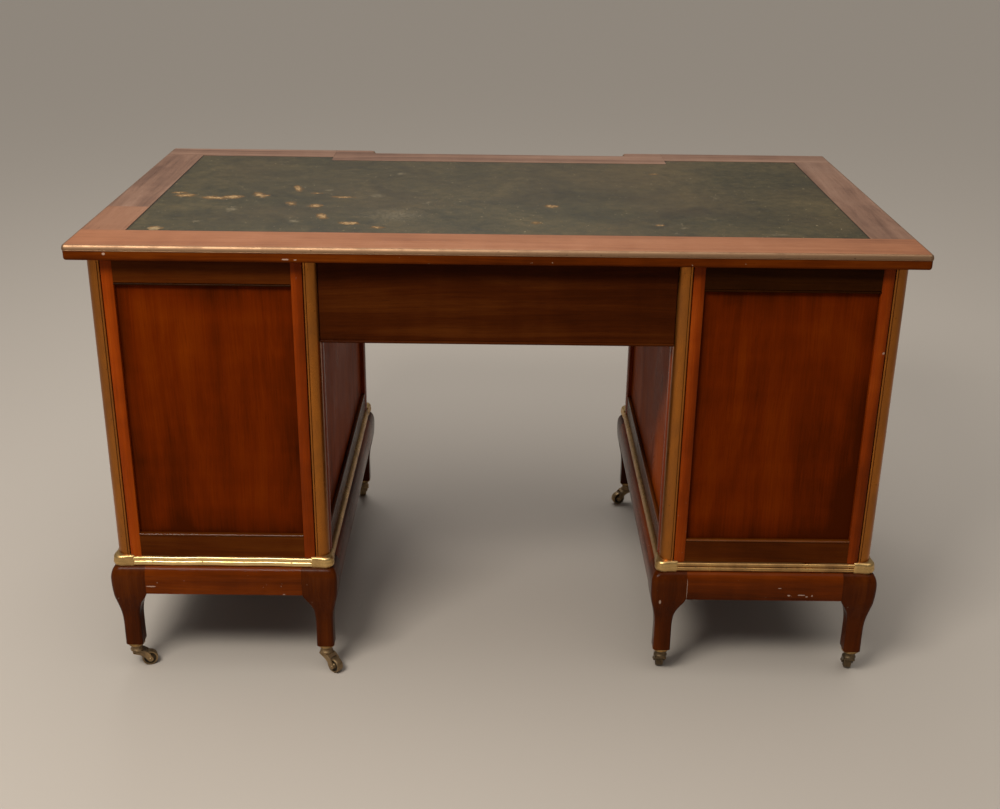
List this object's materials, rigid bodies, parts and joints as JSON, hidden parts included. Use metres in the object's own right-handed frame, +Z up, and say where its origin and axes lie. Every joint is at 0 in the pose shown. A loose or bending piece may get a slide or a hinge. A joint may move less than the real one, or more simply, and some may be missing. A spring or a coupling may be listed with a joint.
{
  "type": "pedestal writing desk",
  "caption": "Kneehole pedestal writing desk with a leather-lined top, brass corner columns, drawers on the sitter's side and castored plinths.",
  "frame": {"origin": "on the floor, under the middle of the desk's top", "axes": "+Z up, -Y towards the sitter (the drawers' side), +Y towards the visitor, +X to the sitter's right"},
  "size_m": [1.32, 0.74, 0.77],
  "materials": {
    "mahogany_top": "waxed, satin, rubbed along the edges",
    "mahogany_case": "french polished, glossy",
    "mahogany_plinth": "french polished, glossy, dark",
    "drawer_lining": "bare oak, matt",
    "leather": "worn, scuffed, satin",
    "brass": "aged, satin",
    "knob_brass": "polished by hands",
    "caster_brass": "tarnished",
    "wheel_brass": "tarnished and worn"
  },
  "bodies": {
    "desk": {"top_board": "mahogany_top", "top_leather": "leather", "top_brass_edge": "brass", "frieze_panel": "mahogany_case", "kneehole_dust_board": "mahogany_case", "kneehole_top_rail": "mahogany_case", "left_case": "mahogany_case", "left_back_panel": "mahogany_case", "left_plinth": "mahogany_plinth", "left_plinth_moulding": "brass", "right_case": "mahogany_case", "right_back_panel": "mahogany_case", "right_plinth": "mahogany_plinth", "right_plinth_moulding": "brass", "column_left_front_inner": "brass", "column_left_front_outer": "brass", "column_left_back_inner": "brass", "column_left_back_outer": "brass", "column_right_front_inner": "brass", "column_right_front_outer": "brass", "column_right_back_inner": "brass", "column_right_back_outer": "brass"},
    "drawer_centre": {"centre_drawer_front": "mahogany_case", "centre_drawer_tray": "drawer_lining", "centre_drawer_knob_left": "knob_brass", "centre_drawer_knob_right": "knob_brass"},
    "drawer_left_bottom": {"left_bottom_drawer_front": "mahogany_case", "left_bottom_drawer_tray": "drawer_lining", "left_bottom_drawer_knob": "knob_brass"},
    "drawer_left_middle": {"left_middle_drawer_front": "mahogany_case", "left_middle_drawer_tray": "drawer_lining", "left_middle_drawer_knob": "knob_brass"},
    "drawer_left_top": {"left_top_drawer_front": "mahogany_case", "left_top_drawer_tray": "drawer_lining", "left_top_drawer_knob": "knob_brass"},
    "drawer_right_bottom": {"right_bottom_drawer_front": "mahogany_case", "right_bottom_drawer_tray": "drawer_lining", "right_bottom_drawer_knob": "knob_brass"},
    "drawer_right_middle": {"right_middle_drawer_front": "mahogany_case", "right_middle_drawer_tray": "drawer_lining", "right_middle_drawer_knob": "knob_brass"},
    "drawer_right_top": {"right_top_drawer_front": "mahogany_case", "right_top_drawer_tray": "drawer_lining", "right_top_drawer_knob": "knob_brass"},
    "caster_left_front_inner": {"caster_fork_left_front_inner": "caster_brass"},
    "caster_left_front_outer": {"caster_fork_left_front_outer": "caster_brass"},
    "caster_left_back_inner": {"caster_fork_left_back_inner": "caster_brass"},
    "caster_left_back_outer": {"caster_fork_left_back_outer": "caster_brass"},
    "caster_right_front_inner": {"caster_fork_right_front_inner": "caster_brass"},
    "caster_right_front_outer": {"caster_fork_right_front_outer": "caster_brass"},
    "caster_right_back_inner": {"caster_fork_right_back_inner": "caster_brass"},
    "caster_right_back_outer": {"caster_fork_right_back_outer": "caster_brass"},
    "wheel_left_front_inner": {"caster_wheel_left_front_inner": "wheel_brass"},
    "wheel_left_front_outer": {"caster_wheel_left_front_outer": "wheel_brass"},
    "wheel_left_back_inner": {"caster_wheel_left_back_inner": "wheel_brass"},
    "wheel_left_back_outer": {"caster_wheel_left_back_outer": "wheel_brass"},
    "wheel_right_front_inner": {"caster_wheel_right_front_inner": "wheel_brass"},
    "wheel_right_front_outer": {"caster_wheel_right_front_outer": "wheel_brass"},
    "wheel_right_back_inner": {"caster_wheel_right_back_inner": "wheel_brass"},
    "wheel_right_back_outer": {"caster_wheel_right_back_outer": "wheel_brass"}
  },
  "joints": [
    {"name": "drawer_centre_slide", "type": "slide", "parent": "desk", "child": "drawer_centre", "axis": [0, -1, 0], "range_m": [0, 0.38]},
    {"name": "drawer_left_bottom_slide", "type": "slide", "parent": "desk", "child": "drawer_left_bottom", "axis": [0, -1, 0], "range_m": [0, 0.4]},
    {"name": "drawer_left_middle_slide", "type": "slide", "parent": "desk", "child": "drawer_left_middle", "axis": [0, -1, 0], "range_m": [0, 0.4]},
    {"name": "drawer_left_top_slide", "type": "slide", "parent": "desk", "child": "drawer_left_top", "axis": [0, -1, 0], "range_m": [0, 0.4]},
    {"name": "drawer_right_bottom_slide", "type": "slide", "parent": "desk", "child": "drawer_right_bottom", "axis": [0, -1, 0], "range_m": [0, 0.4]},
    {"name": "drawer_right_middle_slide", "type": "slide", "parent": "desk", "child": "drawer_right_middle", "axis": [0, -1, 0], "range_m": [0, 0.4]},
    {"name": "drawer_right_top_slide", "type": "slide", "parent": "desk", "child": "drawer_right_top", "axis": [0, -1, 0], "range_m": [0, 0.4]},
    {"name": "swivel_left_front_inner", "type": "hinge", "parent": "desk", "child": "caster_left_front_inner", "pos_m": [-0.2916, -0.3304, 0.03], "axis": [0, 0, 1], "continuous": true},
    {"name": "swivel_left_front_outer", "type": "hinge", "parent": "desk", "child": "caster_left_front_outer", "pos_m": [-0.6224, -0.3304, 0.03], "axis": [0, 0, 1], "continuous": true},
    {"name": "swivel_left_back_inner", "type": "hinge", "parent": "desk", "child": "caster_left_back_inner", "pos_m": [-0.2916, 0.3304, 0.03], "axis": [0, 0, 1], "continuous": true},
    {"name": "swivel_left_back_outer", "type": "hinge", "parent": "desk", "child": "caster_left_back_outer", "pos_m": [-0.6224, 0.3304, 0.03], "axis": [0, 0, 1], "continuous": true},
    {"name": "swivel_right_front_inner", "type": "hinge", "parent": "desk", "child": "caster_right_front_inner", "pos_m": [0.2916, -0.3304, 0.03], "axis": [0, 0, 1], "continuous": true},
    {"name": "swivel_right_front_outer", "type": "hinge", "parent": "desk", "child": "caster_right_front_outer", "pos_m": [0.6224, -0.3304, 0.03], "axis": [0, 0, 1], "continuous": true},
    {"name": "swivel_right_back_inner", "type": "hinge", "parent": "desk", "child": "caster_right_back_inner", "pos_m": [0.2916, 0.3304, 0.03], "axis": [0, 0, 1], "continuous": true},
    {"name": "swivel_right_back_outer", "type": "hinge", "parent": "desk", "child": "caster_right_back_outer", "pos_m": [0.6224, 0.3304, 0.03], "axis": [0, 0, 1], "continuous": true},
    {"name": "wheel_left_front_inner", "type": "hinge", "parent": "caster_left_front_inner", "child": "wheel_left_front_inner", "pos_m": [-0.27281, -0.32356, 0.0135], "axis": [-0.342, 0.9397, 0], "continuous": true},
    {"name": "wheel_left_front_outer", "type": "hinge", "parent": "caster_left_front_outer", "child": "wheel_left_front_outer", "pos_m": [-0.6124, -0.34772, 0.0135], "axis": [0.866, 0.5, 0], "continuous": true},
    {"name": "wheel_left_back_inner", "type": "hinge", "parent": "caster_left_back_inner", "child": "wheel_left_back_inner", "pos_m": [-0.293, 0.31045, 0.0135], "axis": [0.9976, -0.0698, 0], "continuous": true},
    {"name": "wheel_left_back_outer", "type": "hinge", "parent": "caster_left_back_outer", "child": "wheel_left_back_outer", "pos_m": [-0.62622, 0.31077, 0.0135], "axis": [0.9816, -0.1908, 0], "continuous": true},
    {"name": "wheel_right_front_inner", "type": "hinge", "parent": "caster_right_front_inner", "child": "wheel_right_front_inner", "pos_m": [0.29678, -0.34972, 0.0135], "axis": [0.9659, 0.2588, 0], "continuous": true},
    {"name": "wheel_right_front_outer", "type": "hinge", "parent": "caster_right_front_outer", "child": "wheel_right_front_outer", "pos_m": [0.61093, -0.34678, 0.0135], "axis": [0.8192, -0.5736, 0], "continuous": true},
    {"name": "wheel_right_back_inner", "type": "hinge", "parent": "caster_right_back_inner", "child": "wheel_right_back_inner", "pos_m": [0.27584, 0.34271, 0.0135], "axis": [-0.6157, -0.788, 0], "continuous": true},
    {"name": "wheel_right_back_outer", "type": "hinge", "parent": "caster_right_back_outer", "child": "wheel_right_back_outer", "pos_m": [0.60361, 0.32356, 0.0135], "axis": [0.342, -0.9397, 0], "continuous": true}
  ]
}
